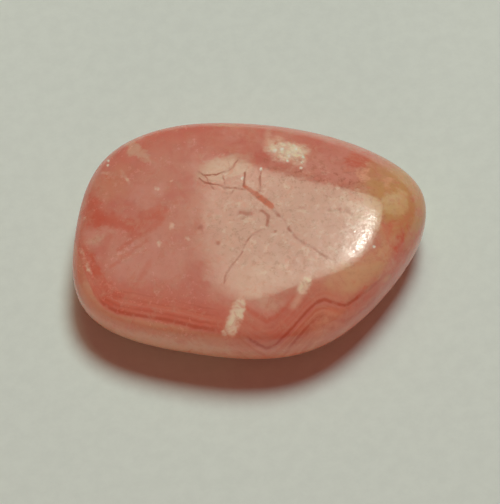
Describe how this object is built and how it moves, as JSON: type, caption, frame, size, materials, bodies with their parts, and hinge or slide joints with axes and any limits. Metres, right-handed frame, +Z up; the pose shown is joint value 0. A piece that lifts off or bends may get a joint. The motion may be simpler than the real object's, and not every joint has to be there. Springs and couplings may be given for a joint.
{
  "type": "tumbled rhodochrosite slice",
  "caption": "Flat pear-shaped slice of banded pink rhodochrosite, tumble-polished, with a broad flat top face and a flat foot to rest on.",
  "frame": {"origin": "on the surface that the stone rests on, under the middle of its plan", "axes": "+Z up out of the ground top face, +X along the stone towards its narrow tip, +Y across it"},
  "size_m": [0.0262, 0.0196, 0.0067],
  "materials": {
    "polished_rhodochrosite": "wet-looking polish on translucent pink stone with tan and red bands"
  },
  "bodies": {
    "root": {"rhodochrosite_slice": "polished_rhodochrosite"}
  },
  "joints": []
}
